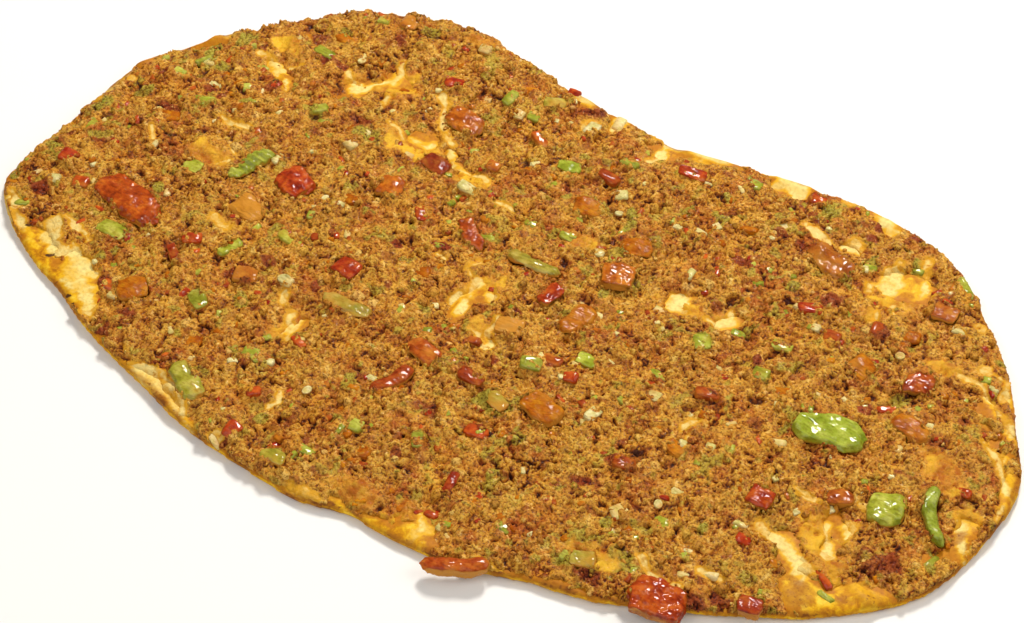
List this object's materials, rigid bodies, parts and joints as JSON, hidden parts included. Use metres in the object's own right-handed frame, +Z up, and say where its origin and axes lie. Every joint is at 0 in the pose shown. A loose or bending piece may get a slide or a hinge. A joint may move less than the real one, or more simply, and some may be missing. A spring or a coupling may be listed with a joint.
{
  "type": "garlic lahmacun",
  "caption": "Oval thin flatbread covered in baked spiced mince with cut tomato, green and red pepper, onion and garlic, dough showing at the rim.",
  "frame": {"origin": "under the middle of the plan, on the surface that the underside rests on", "axes": "+X along the long side, +Y across it, +Z up, out of the topping"},
  "size_m": [0.3196, 0.1915, 0.0086],
  "materials": {
    "baked_dough": "matte baked dough, cream to golden, with brown specks",
    "minced_meat": "crumbly baked mince with a thin film of oil",
    "tomato": "wet cooked tomato",
    "red_pepper": "soft roasted red pepper",
    "orange_pepper": "soft roasted pepper, orange from the oil",
    "green_pepper": "glossy cooked green pepper",
    "onion": "translucent cooked onion"
  },
  "bodies": {
    "root": {"flatbread": "baked_dough", "green_pepper_01": "green_pepper", "green_pepper_02": "green_pepper", "green_pepper_03": "green_pepper", "green_pepper_04": "green_pepper", "green_pepper_05": "green_pepper", "green_pepper_06": "green_pepper", "green_pepper_07": "green_pepper", "green_pepper_08": "green_pepper", "green_pepper_09": "green_pepper", "green_pepper_10": "green_pepper", "green_pepper_11": "green_pepper", "green_pepper_12": "green_pepper", "green_pepper_13": "green_pepper", "green_pepper_14": "green_pepper", "green_pepper_15": "green_pepper", "green_pepper_16": "green_pepper", "green_pepper_17": "green_pepper", "meat_topping": "minced_meat", "onion_01": "onion", "orange_pepper_01": "orange_pepper", "orange_pepper_02": "orange_pepper", "orange_pepper_03": "orange_pepper", "orange_pepper_04": "orange_pepper", "orange_pepper_05": "orange_pepper", "orange_pepper_06": "orange_pepper", "orange_pepper_07": "orange_pepper", "orange_pepper_08": "orange_pepper", "red_pepper_01": "red_pepper", "red_pepper_02": "red_pepper", "red_pepper_03": "red_pepper", "red_pepper_04": "red_pepper", "red_pepper_05": "red_pepper", "red_pepper_06": "red_pepper", "red_pepper_07": "red_pepper", "red_pepper_08": "red_pepper", "red_pepper_09": "red_pepper", "red_pepper_10": "red_pepper", "red_pepper_11": "red_pepper", "tomato_01": "tomato", "tomato_02": "tomato", "tomato_03": "tomato", "tomato_04": "tomato", "tomato_05": "tomato", "tomato_06": "tomato", "tomato_07": "tomato", "tomato_08": "tomato", "tomato_09": "tomato", "tomato_10": "tomato", "tomato_11": "tomato", "tomato_12": "tomato"}
  },
  "joints": []
}
